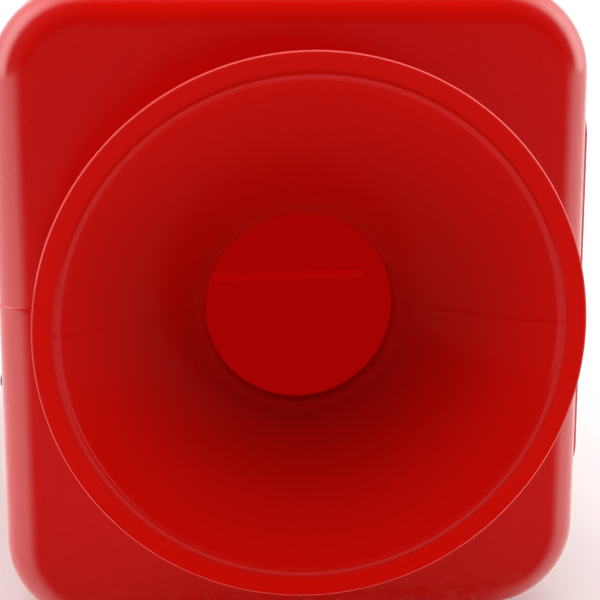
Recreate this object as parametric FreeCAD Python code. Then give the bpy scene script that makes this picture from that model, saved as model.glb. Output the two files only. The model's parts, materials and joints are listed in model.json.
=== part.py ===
"""Water filled barrier block, in millimetres.

A hollow moulded block that stands on the ground. One end (towards -Y) carries a wide horn that
leads into a blind socket, and the other end (+Y) carries the spigot that fits such a socket.
X is across the block, Y is along it, Z is up, and the origin is on the ground under its middle.
"""
import FreeCAD, Part
import math
import os

Vector = FreeCAD.Vector

hole_clearance = 0.1               # round every screw, bolt and rivet
head_crown = 0.6                   # rounding of a screw's head, as a share of its height
cut_past = 1.0                     # how far a cutting shape passes the face it cuts
far = 2000.0                       # larger than the block, for cutting it at a plane

# --- Tank: two moulded halves that are welded on a level seam -------------------------------
body_width = 458.0
body_height = 504.0
body_length = 860.0
body_corner_radius = 70.0          # along the four long edges
body_end_radius = 30.0             # round the outline of each end face
shell_wall = 7.0
horn_axis_rise = 262.0             # horn axis, and the seam, above the tank's underside

# --- Horn -----------------------------------------------------------------------------------
horn_rim_radius = 200.0
horn_depth = 93.0                  # rim plane to the tank's end face
horn_lip_width = 17.5              # flat band between the rim and the bead
horn_lip_drop = 4.3
horn_wall = 6.0
horn_foot_width = 24.0
throat_lip_radius = 7.0
bead_height = 1.4
bead_half_width = 3.2
horn_bow = 3.0                     # how far the horn's face bows in from a straight cone

# --- Socket behind the horn -----------------------------------------------------------------
socket_radius = 72.0
socket_depth = 205.0               # rim plane to the socket's far wall
socket_wall = 7.0
socket_seam_width = 6.6
socket_seam_depth = 1.2
socket_seam_margin = 2.0           # its ends to the socket's wall

# --- Spigot on the other end ----------------------------------------------------------------
spigot_side_clearance = 3.0
spigot_end_clearance = 2.0
spigot_wall = 8.0
spigot_nose_radius = 10.0
spigot_root_step = 1.5             # thicker root under the two rings
spigot_foot_width = 6.0
spigot_foot_thickness = 5.0
clamp_ring_width = 44.0
clamp_ring_thickness = 12.0
spigot_bolt_radius = 5.0
spigot_bolt_head_radius = 8.5
spigot_bolt_count = 6
spigot_bolt_head_height = 6.5
spigot_insert_depth = 14.0
spigot_insert_wall = 4.0
buffer_thickness = 6.0
buffer_width = 12.0
buffer_clearance = 0.3

# --- Coupling pin, its guide over the socket and its stowage sleeve --------------------------
pin_radius = 10.0
pin_bore_clearance = 0.5
pin_hole_clearance = 1.5           # in the spigot
pin_stow_clearance = 0.08
pin_guide_depth = 160.0            # rim plane to the guide's axis
pin_end_margin = 14.0              # what the pin reaches below the spigot
pin_sleeve_wall = 5.5
pin_collar_width = 4.0
pin_collar_height = 8.0
pin_shoulder_radius = 18.0
pin_shoulder_height = 6.0
pin_neck_height = 14.0
pin_bar_radius = 8.0
pin_bar_length = 132.0
pin_grip_length = 44.0
pin_grip_wall = 4.0
stow_floor = 6.0
stow_end_gap = 4.0

# --- Fill neck and its cap ------------------------------------------------------------------
fill_y = -72.0
fill_bore_radius = 52.0
fill_neck_wall = 8.0
fill_neck_height = 23.0
fill_flange_width = 24.0
fill_flange_thickness = 5.0
fill_neck_tail = 5.0
fill_screw_count = 6
fill_screw_radius = 2.5
fill_screw_head_radius = 4.5
fill_screw_head_height = 2.0
fill_screw_tail = 6.0
fill_screw_gap = 2.0               # screw heads to the ring's ribs
gasket_thickness = 2.0
gasket_set_in = 1.0                # from the edges of what it lies on
lid_thickness = 6.0
lid_overhang = 3.0
lid_skirt_wall = 4.0
lid_skirt_depth = 12.0
lid_skirt_clearance = 0.6
lid_grip_length = 84.0
lid_grip_width = 13.0
lid_grip_height = 16.0
lid_grip_corner = 5.8
lid_grip_crown = 2.6               # rounding along its top
ring_wall = 8.0
ring_running_clearance = 0.08
ring_lip_width = 11.0
ring_lip_thickness = 4.0
ring_gap = 1.2                     # above the neck's flange
ring_rib_count = 24
ring_rib_radius = 2.6

# --- Drain ----------------------------------------------------------------------------------
drain_rise = 98.0                  # above the tank's underside
drain_bore_radius = 18.0
drain_bush_wall = 6.0
drain_flange_width = 10.0
drain_flange_thickness = 4.0
drain_tail = 13.0
drain_running_clearance = 0.08
drain_head_radius = 27.0
drain_head_thickness = 9.0
drain_plug_reach = 22.0
drain_wing_length = 44.0
drain_wing_width = 7.0
drain_wing_height = 11.0

# --- Lamp post socket -----------------------------------------------------------------------
lamp_y = 95.0
lamp_bore_radius = 21.0
lamp_bore_depth = 130.0
lamp_wall = 5.0
lamp_flange_width = 16.0
lamp_flange_thickness = 5.0

# --- Carrying handles -----------------------------------------------------------------------
handle_set_in = 52.0               # stowed pin's axis to the handle's pivot
handle_span = 120.0                # between the arms' centre lines
handle_reach = 72.0
handle_rod_radius = 6.0
handle_bend_radius = 16.0
handle_pivot_rise = 14.0
handle_running_clearance = 0.08
handle_arm_gap = 1.0
handle_lug_thickness = 10.0
handle_lug_radius = 12.0
handle_plate_thickness = 4.0
handle_plate_length = 46.0
handle_stop_back = 10.0
handle_stop_depth = 9.0
handle_stop_rise = 8.0
handle_grip_length = 76.0
handle_grip_wall = 5.0
handle_screw_radius = 3.0
handle_screw_head_radius = 5.5
handle_screw_head_height = 2.5
handle_screw_inset = 9.0
handle_screw_tail = 7.0

# --- Fork lift tunnels ----------------------------------------------------------------------
tunnel_spacing = 400.0
tunnel_length = 165.0              # clear width along Y
tunnel_height = 70.0
tunnel_wall = 5.0
tunnel_rise = 32.0                 # clear floor above the tank's underside

# --- Skids, side panel and grooves ----------------------------------------------------------
skid_height = 22.0
skid_width = 290.0
skid_length = 120.0
skid_corner_radius = 18.0
skid_set_in = 110.0                # block's end to the middle of an end skid
skid_screw_radius = 3.0
skid_screw_head_radius = 6.5
skid_screw_head_height = 4.0
skid_screw_recess = 9.0
skid_screw_tail = 6.0
skid_screw_inset = 24.0
panel_height = 294.0
panel_end_margin = 35.0             # block's end to the panel's end
panel_thickness = 5.0
panel_drop = 5.0                   # panel's middle below the seam
panel_corner_radius = 20.0
panel_rivet_radius = 2.5
panel_rivet_head_radius = 6.0
panel_rivet_head_height = 2.0
panel_rivet_inset = 16.0
panel_rivet_tail = 5.0
panel_rivet_columns = 4
strip_height = 80.0
strip_end_margin = 45.0             # panel's end to the strip's end
strip_thickness = 1.0
strip_spacing = 130.0
strip_corner_radius = 8.0
groove_count = 3
groove_height = 34.0
groove_depth = 9.0
groove_end_margin = 120.0           # block's end to the groove's end
groove_spacing = 96.0
groove_rise = 44.0                 # the middle groove above the seam

# --- Places worked out from the sizes above --------------------------------------------------
tank_bottom = skid_height
tank_top = tank_bottom + body_height
axis_z = tank_bottom + horn_axis_rise
half_width = body_width / 2
half_length = body_length / 2
front_y = -half_length
rear_y = half_length
rim_y = front_y - horn_depth
socket_end_y = rim_y + socket_depth
spigot_radius = socket_radius - spigot_side_clearance
spigot_reach = socket_depth - spigot_end_clearance
spigot_root_radius = spigot_radius + spigot_root_step
spigot_root_length = clamp_ring_thickness + buffer_thickness + buffer_clearance
guide_y = rim_y + pin_guide_depth
panel_length = body_length - 2 * panel_end_margin
strip_length = panel_length - 2 * strip_end_margin
groove_length = body_length - 2 * groove_end_margin
stow_y = -guide_y
handle_y = stow_y - handle_set_in
pin_bore = pin_radius + pin_bore_clearance
collar_top = tank_top + pin_collar_height
pin_tip_z = axis_z - spigot_radius - pin_end_margin
neck_outer = fill_bore_radius + fill_neck_wall
neck_top = tank_top + fill_neck_height
lid_bottom = neck_top + gasket_thickness
lid_top = lid_bottom + lid_thickness
lid_radius = neck_outer + lid_overhang
drain_z = tank_bottom + drain_rise
pivot_z = tank_top + handle_pivot_rise


def box(lo, hi):
    size = [b - a for a, b in zip(lo, hi)]
    return Part.makeBox(size[0], size[1], size[2], Vector(*lo))


def post(radius, x, y, z0, z1):
    """Upright cylinder between two heights."""
    return Part.makeCylinder(radius, z1 - z0, Vector(x, y, z0), Vector(0, 0, 1))


def along_y(radius, y0, y1, x=0.0, z=axis_z):
    return Part.makeCylinder(radius, y1 - y0, Vector(x, y0, z), Vector(0, 1, 0))


def along_x(radius, x0, x1, y, z):
    return Part.makeCylinder(radius, x1 - x0, Vector(x0, y, z), Vector(1, 0, 0))


def tube(outer, inner, x, y, z0, z1):
    return post(outer, x, y, z0, z1).cut(post(inner, x, y, z0, z1))


def is_parallel(edge, axis):
    line = edge.lastVertex().Point - edge.firstVertex().Point
    return line.Length > 0 and abs(abs(line.normalize().dot(axis)) - 1) < 1e-6


def round_edges(shape, axis, radius):
    return shape.makeFillet(radius, [e for e in shape.Edges if is_parallel(e, axis)])


def rounded_block(inset):
    """The tank's outline, inset all round, with its long edges and both end outlines rounded."""
    lo = (-half_width + inset, front_y + inset, tank_bottom + inset)
    hi = (half_width - inset, rear_y - inset, tank_top - inset)
    block = round_edges(box(lo, hi), Vector(0, 1, 0), body_corner_radius - inset)
    ends = [e for e in block.Edges
            if abs(abs(e.BoundBox.Center.y) - (half_length - inset)) < 1e-3
            and e.BoundBox.YLength < 1e-3]
    return block.makeFillet(body_end_radius - inset, ends)


def upright_slot(x0, x1, y_mid, z_mid, length, height):
    """Round-ended bar that runs along Y, standing on an X face."""
    radius = height / 2
    end = length / 2 - radius
    bar = box((x0, y_mid - end, z_mid - radius), (x1, y_mid + end, z_mid + radius))
    for side in (-1, 1):
        bar = bar.fuse(along_x(radius, x0, x1, y_mid + side * end, z_mid))
    return bar.removeSplitter()


def groove_heights():
    first = axis_z - groove_spacing + groove_rise
    return [first + i * groove_spacing for i in range(groove_count)]


def upper_half(shape):
    return shape.common(box((-far, -far, axis_z), (far, far, far)))


def lower_half(shape):
    return shape.common(box((-far, -far, -far), (far, far, axis_z)))


def ring_places(count, radius, start=0.0):
    """Points round a circle as pairs of numbers."""
    step = 2 * math.pi / count
    return [(radius * math.cos(start + i * step), radius * math.sin(start + i * step))
            for i in range(count)]


# --- Tank and the openings in its wall --------------------------------------------------------
def tunnel_box(y_mid, extra):
    floor = tank_bottom + tunnel_rise
    return box((-half_width - cut_past, y_mid - tunnel_length / 2 - extra, floor - extra),
               (half_width + cut_past, y_mid + tunnel_length / 2 + extra, floor + tunnel_height + extra))


def tunnel_places():
    return {"fork_tunnel_front": -tunnel_spacing / 2, "fork_tunnel_rear": tunnel_spacing / 2}


def skid_places():
    return {"front_skid": front_y + skid_set_in, "middle_skid": 0.0, "rear_skid": rear_y - skid_set_in}


def skid_screw_points(y_mid):
    dx = skid_width / 2 - skid_screw_inset
    dy = skid_length / 2 - skid_screw_inset
    return [(sx * dx, y_mid + sy * dy) for sx in (-1, 1) for sy in (-1, 1)]


def fill_screw_points():
    radius = neck_outer + ring_wall + ring_rib_radius + fill_screw_head_radius + fill_screw_gap
    return [(x, fill_y + y) for x, y in ring_places(fill_screw_count, radius, math.pi / 6)]


def handle_lug_x():
    inner = handle_span / 2 + handle_rod_radius + handle_arm_gap
    return inner, inner + handle_lug_thickness


def handle_screw_points(side):
    inner, outer = handle_lug_x()
    x = outer + handle_screw_inset
    dy = handle_plate_length / 2 - handle_screw_inset
    return [(sx * x, side * handle_y + sy * dy) for sx in (-1, 1) for sy in (-1, 1)]


def panel_rivet_points():
    dz = panel_height / 2 - panel_rivet_inset
    half = panel_length / 2 - panel_rivet_inset
    step = 2 * half / (panel_rivet_columns - 1)
    return [(-half + i * step, axis_z - panel_drop + s * dz)
            for i in range(panel_rivet_columns) for s in (-1, 1)]


def spigot_bolt_points():
    radius = spigot_radius + clamp_ring_width / 2 + buffer_width / 2
    return [(x, axis_z + z) for x, z in ring_places(spigot_bolt_count, radius, math.pi / 6)]


def top_hole(radius, x, y):
    return post(radius, x, y, tank_top - 2 * shell_wall, tank_top + cut_past)


def groove_bar(z, extra):
    """What a side groove takes out of the block, larger all round by extra."""
    return upright_slot(-half_width - cut_past, -half_width + groove_depth + extra, 0.0, z,
                        groove_length + 2 * extra, groove_height + 2 * extra)


def tank_fastener_holes():
    floor = tank_bottom + 2 * shell_wall
    holes = [top_hole(fill_screw_radius + hole_clearance, x, y) for x, y in fill_screw_points()]
    holes += [top_hole(handle_screw_radius + hole_clearance, x, y)
              for side in (-1, 1) for x, y in handle_screw_points(side)]
    holes += [post(skid_screw_radius + hole_clearance, x, y, tank_bottom - cut_past, floor)
              for y_mid in skid_places().values() for x, y in skid_screw_points(y_mid)]
    holes += [along_x(panel_rivet_radius + hole_clearance, half_width - 2 * shell_wall,
                      half_width + cut_past, y, z) for y, z in panel_rivet_points()]
    holes += [along_y(spigot_bolt_radius + hole_clearance, rear_y - 2 * shell_wall,
                      rear_y + cut_past, x, z) for x, z in spigot_bolt_points()]
    return holes


def make_tank():
    cavity = rounded_block(shell_wall)
    for z in groove_heights():
        cavity = cavity.cut(groove_bar(z, shell_wall))
    tank = rounded_block(0.0).cut(cavity)
    for z in groove_heights():
        tank = tank.cut(groove_bar(z, 0.0))
    cuts = [along_y(socket_radius + socket_wall, front_y - cut_past, socket_end_y)]
    cuts += [tunnel_box(y, tunnel_wall) for y in tunnel_places().values()]
    cuts += [top_hole(pin_bore + pin_sleeve_wall, 0, y) for y in (guide_y, stow_y)]
    cuts.append(top_hole(neck_outer, 0, fill_y))
    cuts.append(top_hole(lamp_bore_radius + lamp_wall, 0, lamp_y))
    cuts.append(along_x(drain_bore_radius + drain_bush_wall, -half_width - cut_past,
                        -half_width + 2 * shell_wall, 0.0, drain_z))
    for cut in cuts + tank_fastener_holes():
        tank = tank.cut(cut)
    return tank


# --- Horn and socket --------------------------------------------------------------------------
def revolve_profile(edges):
    """Turns a closed outline in the X-Y plane about the horn's axis."""
    face = Part.Face(Part.Wire(Part.__sortEdges__(edges)))
    face.translate(Vector(0, 0, axis_z))
    return face.revolve(Vector(0, 0, axis_z), Vector(0, 1, 0), 360)


def line(a, b):
    return Part.LineSegment(Vector(a[0], a[1], 0), Vector(b[0], b[1], 0)).toShape()


def arc(a, middle, b):
    return Part.Arc(Vector(a[0], a[1], 0), Vector(middle[0], middle[1], 0),
                    Vector(b[0], b[1], 0)).toShape()


def bowed(a, b, bow):
    """Arc between two points whose middle is pushed towards the rim plane."""
    length = math.hypot(b[0] - a[0], b[1] - a[1])
    middle = ((a[0] + b[0]) / 2 - bow * (b[1] - a[1]) / length,
              (a[1] + b[1]) / 2 + bow * (b[0] - a[0]) / length)
    return arc(a, middle, b)


def make_horn():
    crease_radius = horn_rim_radius - horn_lip_width
    lip_slope = horn_lip_drop / horn_lip_width
    rim = (horn_rim_radius, rim_y)
    bead_out = (crease_radius + bead_half_width, rim_y + horn_lip_drop - bead_half_width * lip_slope)
    bead_top = (crease_radius, rim_y + horn_lip_drop - bead_height)
    bead_in = (crease_radius - bead_half_width, rim_y + horn_lip_drop + bead_half_width * lip_slope)
    throat_y = front_y - horn_wall - throat_lip_radius
    throat_in = (socket_radius + throat_lip_radius, throat_y)
    throat_mid = (socket_radius + throat_lip_radius * (1 - math.sqrt(0.5)),
                  throat_y + throat_lip_radius * (1 - math.sqrt(0.5)))
    throat_end = (socket_radius, throat_y + throat_lip_radius)
    foot_in = (socket_radius, front_y)
    foot_out = (socket_radius + horn_foot_width + horn_wall, front_y)
    foot_top = (foot_out[0], front_y - horn_wall)
    rim_back = (horn_rim_radius, rim_y + horn_wall)
    edges = [line(rim, bead_out), arc(bead_out, bead_top, bead_in),
             bowed(bead_in, throat_in, horn_bow), arc(throat_in, throat_mid, throat_end),
             line(throat_end, foot_in), line(foot_in, foot_out), line(foot_out, foot_top),
             bowed(foot_top, rim_back, -horn_bow), line(rim_back, rim)]
    return revolve_profile(edges)


def make_socket_cup():
    cup = along_y(socket_radius + socket_wall, front_y, socket_end_y + socket_wall)
    cup = cup.cut(along_y(socket_radius, front_y, socket_end_y))
    seam_end = socket_end_y + socket_seam_depth
    seam = box((-far, socket_end_y, axis_z - socket_seam_width / 2),
               (far, seam_end, axis_z + socket_seam_width / 2))
    disc = along_y(socket_radius - socket_seam_margin, socket_end_y, seam_end)
    cup = cup.cut(seam.common(disc))
    return cup.cut(post(pin_bore, 0, guide_y, axis_z, tank_top))


# --- Spigot -------------------------------------------------------------------------------------
def make_spigot():
    tip = rear_y + spigot_reach
    body = along_y(spigot_radius, rear_y, tip)
    nose = [e for e in body.Edges if abs(e.BoundBox.Center.y - tip) < 1e-3]
    body = body.makeFillet(spigot_nose_radius, nose)
    root = along_y(spigot_root_radius, rear_y, rear_y + spigot_root_length)
    foot = along_y(spigot_root_radius + spigot_foot_width, rear_y, rear_y + spigot_foot_thickness)
    body = body.fuse(root).fuse(foot).removeSplitter()
    body = body.cut(along_y(spigot_radius - spigot_wall, rear_y, tip - spigot_wall))
    return body.cut(post(pin_radius + pin_hole_clearance, 0, rear_y + pin_guide_depth, 0, tank_top))


def make_clamp_ring():
    face_y = rear_y + clamp_ring_thickness
    inner = spigot_root_radius + hole_clearance
    ring = along_y(spigot_radius + clamp_ring_width, rear_y, face_y)
    ring = ring.cut(along_y(inner, rear_y, face_y))
    ring = ring.cut(along_y(inner + spigot_foot_width, rear_y, rear_y + spigot_foot_thickness))
    for x, z in spigot_bolt_points():
        ring = ring.cut(along_y(spigot_bolt_radius + hole_clearance, rear_y, face_y, x, z))
    return ring


def make_spigot_bolts():
    head_y = rear_y + clamp_ring_thickness
    depth = rear_y - shell_wall - spigot_insert_depth + spigot_insert_wall
    bolts = []
    for x, z in spigot_bolt_points():
        shank = along_y(spigot_bolt_radius, depth, head_y, x, z)
        head = along_y(spigot_bolt_head_radius, head_y, head_y + spigot_bolt_head_height, x, z)
        socket = hexagon_along_y(spigot_bolt_radius, head_y + spigot_bolt_head_height / 2,
                                 head_y + spigot_bolt_head_height, x, z)
        bolts.append(shank.fuse(head).removeSplitter().cut(socket))
    return bolts


def hexagon_along_y(radius, y0, y1, x, z):
    corners = [Vector(x + px, y0, z + pz) for px, pz in ring_places(6, radius)]
    face = Part.Face(Part.makePolygon(corners + corners[:1]))
    return face.extrude(Vector(0, y1 - y0, 0))


def make_spigot_inserts():
    inner_y = rear_y - shell_wall
    outer = spigot_bolt_radius + hole_clearance + spigot_insert_wall
    back = inner_y - spigot_insert_depth
    return [along_y(outer, back, inner_y, x, z).cut(
            along_y(spigot_bolt_radius + hole_clearance, back + spigot_insert_wall, inner_y, x, z))
            for x, z in spigot_bolt_points()]


def make_buffer_ring():
    inner = spigot_root_radius + buffer_clearance
    y0 = rear_y + clamp_ring_thickness
    ring = along_y(inner + buffer_width, y0, y0 + buffer_thickness)
    return ring.cut(along_y(inner, y0, y0 + buffer_thickness))


# --- Coupling pin and sleeves -------------------------------------------------------------------
def make_pin_guide():
    outer = pin_bore + pin_sleeve_wall
    sleeve = tube(outer, pin_bore, 0, guide_y, axis_z, tank_top)
    sleeve = sleeve.cut(along_y(socket_radius + socket_wall, front_y, rear_y))
    collar = tube(outer + pin_collar_width, pin_bore, 0, guide_y, tank_top, collar_top)
    return sleeve.fuse(collar).removeSplitter()


def make_pin_stowage():
    outer = pin_bore + pin_sleeve_wall
    floor_z = pin_tip_z - stow_end_gap
    sleeve = post(outer, 0, stow_y, floor_z - stow_floor, tank_top)
    sleeve = sleeve.fuse(post(outer + pin_collar_width, 0, stow_y, tank_top, collar_top)).removeSplitter()
    return sleeve.cut(post(pin_radius + pin_stow_clearance, 0, stow_y, floor_z, collar_top))


def make_coupling_pin():
    shoulder_top = collar_top + pin_shoulder_height
    bar_z = shoulder_top + pin_neck_height
    pin = post(pin_radius, 0, stow_y, pin_tip_z, bar_z)
    tip = [e for e in pin.Edges if abs(e.BoundBox.Center.z - pin_tip_z) < 1e-3]
    pin = pin.makeChamfer(pin_radius / 4, tip)
    pin = pin.fuse(post(pin_shoulder_radius, 0, stow_y, collar_top, shoulder_top))
    half = pin_bar_length / 2
    return pin.fuse(along_x(pin_bar_radius, -half, half, stow_y, bar_z)).removeSplitter()


def make_pin_grips():
    bar_z = collar_top + pin_shoulder_height + pin_neck_height
    half = pin_bar_length / 2
    grips = []
    for side in (-1, 1):
        x0 = min(side * half, side * (half - pin_grip_length))
        x1 = x0 + pin_grip_length
        sleeve = along_x(pin_bar_radius + pin_grip_wall, x0, x1, stow_y, bar_z)
        grips.append(sleeve.cut(along_x(pin_bar_radius, x0, x1, stow_y, bar_z)))
    return grips


# --- Fill neck, lid and ring --------------------------------------------------------------------
def make_fill_neck():
    neck = post(neck_outer, 0, fill_y, tank_top - shell_wall - fill_neck_tail, neck_top)
    flange = post(neck_outer + fill_flange_width, 0, fill_y, tank_top, tank_top + fill_flange_thickness)
    neck = neck.fuse(flange).removeSplitter()
    neck = neck.cut(post(fill_bore_radius, 0, fill_y, 0, neck_top))
    for x, y in fill_screw_points():
        neck = neck.cut(post(fill_screw_radius + hole_clearance, x, y, tank_top, neck_top))
    return neck


def domed_screw(radius, head_radius, head_height, x, y, z_seat, z_tip):
    """Screw driven downwards, with a rounded head on its seat."""
    screw = post(head_radius, x, y, z_seat, z_seat + head_height)
    top = [e for e in screw.Edges if abs(e.BoundBox.Center.z - z_seat - head_height) < 1e-3]
    screw = screw.makeFillet(head_height * head_crown, top)
    return screw.fuse(post(radius, x, y, z_tip, z_seat)).removeSplitter()


def make_fill_screws():
    seat = tank_top + fill_flange_thickness
    tip = tank_top - shell_wall - fill_screw_tail
    return [domed_screw(fill_screw_radius, fill_screw_head_radius, fill_screw_head_height,
                        x, y, seat, tip) for x, y in fill_screw_points()]


def make_fill_gasket():
    return tube(neck_outer - gasket_set_in, fill_bore_radius, 0, fill_y, neck_top, lid_bottom)


def make_fill_lid():
    lid = post(lid_radius, 0, fill_y, lid_bottom, lid_top)
    skirt_outer = fill_bore_radius - lid_skirt_clearance
    skirt = tube(skirt_outer, skirt_outer - lid_skirt_wall, 0, fill_y,
                 lid_bottom - lid_skirt_depth, lid_bottom)
    length = lid_grip_length / 2
    width = lid_grip_width / 2
    grip = box((-length, fill_y - width, lid_top), (length, fill_y + width, lid_top + lid_grip_height))
    grip = round_edges(grip, Vector(0, 0, 1), lid_grip_corner)
    top = [e for e in grip.Edges if abs(e.BoundBox.ZMin - lid_top - lid_grip_height) < 1e-3]
    grip = grip.makeFillet(lid_grip_crown, top)
    return lid.fuse(skirt).fuse(grip).removeSplitter()


def make_fill_ring():
    outer = neck_outer + ring_wall
    seat = lid_radius + ring_running_clearance
    bottom = tank_top + fill_flange_thickness + ring_gap
    top = lid_top + ring_lip_thickness
    ring = post(outer, 0, fill_y, bottom, top)
    for x, y in ring_places(ring_rib_count, outer):
        ring = ring.fuse(post(ring_rib_radius, x, fill_y + y, bottom, top - ring_lip_thickness))
    ring = ring.removeSplitter()
    ring = ring.cut(post(neck_outer + ring_running_clearance, 0, fill_y, bottom, lid_bottom))
    ring = ring.cut(post(seat, 0, fill_y, neck_top, lid_top + ring_running_clearance))
    return ring.cut(post(lid_radius - ring_lip_width, 0, fill_y, bottom, top))


# --- Drain --------------------------------------------------------------------------------------
def make_drain_bush():
    outer = drain_bore_radius + drain_bush_wall
    flange_x = -half_width - drain_flange_thickness
    bush = along_x(outer, -half_width, -half_width + shell_wall + drain_tail, 0, drain_z)
    flange = along_x(outer + drain_flange_width, flange_x, -half_width, 0, drain_z)
    bush = bush.fuse(flange).removeSplitter()
    return bush.cut(along_x(drain_bore_radius, flange_x, 0, 0, drain_z))


def make_drain_gasket():
    x1 = -half_width - drain_flange_thickness
    x0 = x1 - gasket_thickness
    gasket = along_x(drain_head_radius - gasket_set_in, x0, x1, 0, drain_z)
    return gasket.cut(along_x(drain_bore_radius + gasket_set_in, x0, x1, 0, drain_z))


def make_drain_plug():
    seat = -half_width - drain_flange_thickness - gasket_thickness
    plug = along_x(drain_bore_radius - drain_running_clearance, seat, seat + drain_plug_reach, 0, drain_z)
    head_x = seat - drain_head_thickness
    head = along_x(drain_head_radius, head_x, seat, 0, drain_z)
    face = [e for e in head.Edges if abs(e.BoundBox.Center.x - head_x) < 1e-3]
    plug = plug.fuse(head.makeFillet(drain_head_thickness / 3, face))
    wing = box((head_x - drain_wing_height, -drain_wing_length / 2, drain_z - drain_wing_width / 2),
               (head_x, drain_wing_length / 2, drain_z + drain_wing_width / 2))
    wing = round_edges(wing, Vector(0, 0, 1), drain_wing_height / 3)
    return plug.fuse(wing).removeSplitter()


# --- Lamp post socket ---------------------------------------------------------------------------
def make_lamp_socket():
    outer = lamp_bore_radius + lamp_wall
    bottom = tank_top + lamp_flange_thickness - lamp_bore_depth
    socket = post(outer, 0, lamp_y, bottom - lamp_wall, tank_top)
    flange = post(outer + lamp_flange_width, 0, lamp_y, tank_top, tank_top + lamp_flange_thickness)
    socket = socket.fuse(flange).removeSplitter()
    return socket.cut(post(lamp_bore_radius, 0, lamp_y, bottom, tank_top + lamp_flange_thickness))


# --- Carrying handles ---------------------------------------------------------------------------
def at_pivot_height(x, y):
    return Vector(x, y, pivot_z)


def handle_bail(side):
    """Bent rod, folded flat towards the middle of the block; side is -1 at the front, 1 at the rear."""
    pivot = side * handle_y
    towards = -side
    half = handle_span / 2
    end = pivot + towards * handle_reach
    bend = handle_bend_radius
    lug_outer = handle_lug_x()[1]
    bends = []
    for s in (-1, 1):
        centre = at_pivot_height(s * (half - bend), end - towards * bend)
        start = at_pivot_height(s * half, end - towards * bend)
        middle = centre + Vector(s, towards, 0).normalize() * bend
        bends.append((start, middle, at_pivot_height(s * (half - bend), end)))
    left, right = bends
    path = Part.Wire([
        Part.LineSegment(at_pivot_height(-half, pivot), left[0]).toShape(),
        Part.Arc(*left).toShape(),
        Part.LineSegment(left[2], right[2]).toShape(),
        Part.Arc(*reversed(right)).toShape(),
        Part.LineSegment(right[0], at_pivot_height(half, pivot)).toShape()])
    section = Part.Wire(Part.makeCircle(handle_rod_radius, at_pivot_height(-half, pivot), Vector(0, 1, 0)))
    rod = path.makePipeShell([section], True, True)
    for s in (-1, 1):
        stub = along_x(handle_rod_radius, min(s * half, s * lug_outer), max(s * half, s * lug_outer),
                       pivot, pivot_z)
        knuckle = Part.makeSphere(handle_rod_radius, at_pivot_height(s * half, pivot))
        rod = rod.fuse(stub).fuse(knuckle)
    return rod.removeSplitter()


def handle_grip(side):
    y = side * (handle_y - handle_reach)
    half = handle_grip_length / 2
    grip = along_x(handle_rod_radius + handle_grip_wall, -half, half, y, pivot_z)
    ends = [e for e in grip.Edges if abs(abs(e.BoundBox.Center.x) - half) < 1e-3]
    grip = grip.makeFillet(handle_grip_wall / 2, ends)
    return grip.cut(along_x(handle_rod_radius, -half, half, y, pivot_z))


def handle_brackets(side):
    """A left and a right bracket, each with a lug and a stop behind the arm."""
    inner, outer = handle_lug_x()
    pivot = side * handle_y
    plate_outer = outer + 2 * handle_screw_inset
    plate_top = tank_top + handle_plate_thickness
    arm_inner = handle_span / 2 - handle_rod_radius
    brackets = []
    for s in (-1, 1):
        plate = box((min(s * arm_inner, s * plate_outer), pivot - handle_plate_length / 2, tank_top),
                    (max(s * arm_inner, s * plate_outer), pivot + handle_plate_length / 2, plate_top))
        plate = round_edges(plate, Vector(0, 0, 1), handle_screw_inset / 2)
        lug_x = sorted((s * inner, s * outer))
        lug = along_x(handle_lug_radius, lug_x[0], lug_x[1], pivot, pivot_z)
        web = box((lug_x[0], pivot - handle_lug_radius, tank_top),
                  (lug_x[1], pivot + handle_lug_radius, pivot_z))
        stop_far = pivot + side * (handle_stop_back + handle_stop_depth)
        stop_near = pivot + side * handle_stop_back
        stop = box((min(s * arm_inner, s * outer), min(stop_near, stop_far), tank_top),
                   (max(s * arm_inner, s * outer), max(stop_near, stop_far), pivot_z + handle_stop_rise))
        bracket = plate.fuse(lug).fuse(web).fuse(stop).removeSplitter()
        bracket = bracket.cut(along_x(handle_rod_radius + handle_running_clearance,
                                      lug_x[0], lug_x[1], pivot, pivot_z))
        for x, y in handle_screw_points(side):
            bracket = bracket.cut(post(handle_screw_radius + hole_clearance, x, y, tank_top, plate_top))
        brackets.append(bracket)
    return brackets


def make_handle_screws():
    seat = tank_top + handle_plate_thickness
    tip = tank_top - shell_wall - handle_screw_tail
    return [domed_screw(handle_screw_radius, handle_screw_head_radius, handle_screw_head_height,
                        x, y, seat, tip)
            for side in (-1, 1) for x, y in handle_screw_points(side)]


# --- Tunnels, skids, panel ----------------------------------------------------------------------
def make_tunnel(y_mid):
    sleeve = tunnel_box(y_mid, tunnel_wall).cut(tunnel_box(y_mid, 0.0))
    return sleeve.common(rounded_block(0.0))


def make_skid(y_mid):
    skid = box((-skid_width / 2, y_mid - skid_length / 2, 0),
               (skid_width / 2, y_mid + skid_length / 2, skid_height))
    skid = round_edges(skid, Vector(0, 0, 1), skid_corner_radius)
    for x, y in skid_screw_points(y_mid):
        skid = skid.cut(post(skid_screw_radius + hole_clearance, x, y, 0, skid_height))
        skid = skid.cut(post(skid_screw_head_radius + 2 * hole_clearance, x, y, 0, skid_screw_recess))
    return skid


def make_skid_screws():
    screws = []
    for y_mid in skid_places().values():
        for x, y in skid_screw_points(y_mid):
            head = post(skid_screw_head_radius, x, y,
                        skid_screw_recess - skid_screw_head_height, skid_screw_recess)
            shank = post(skid_screw_radius, x, y, skid_screw_recess,
                         tank_bottom + shell_wall + skid_screw_tail)
            screws.append(head.fuse(shank).removeSplitter())
    return screws


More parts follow.
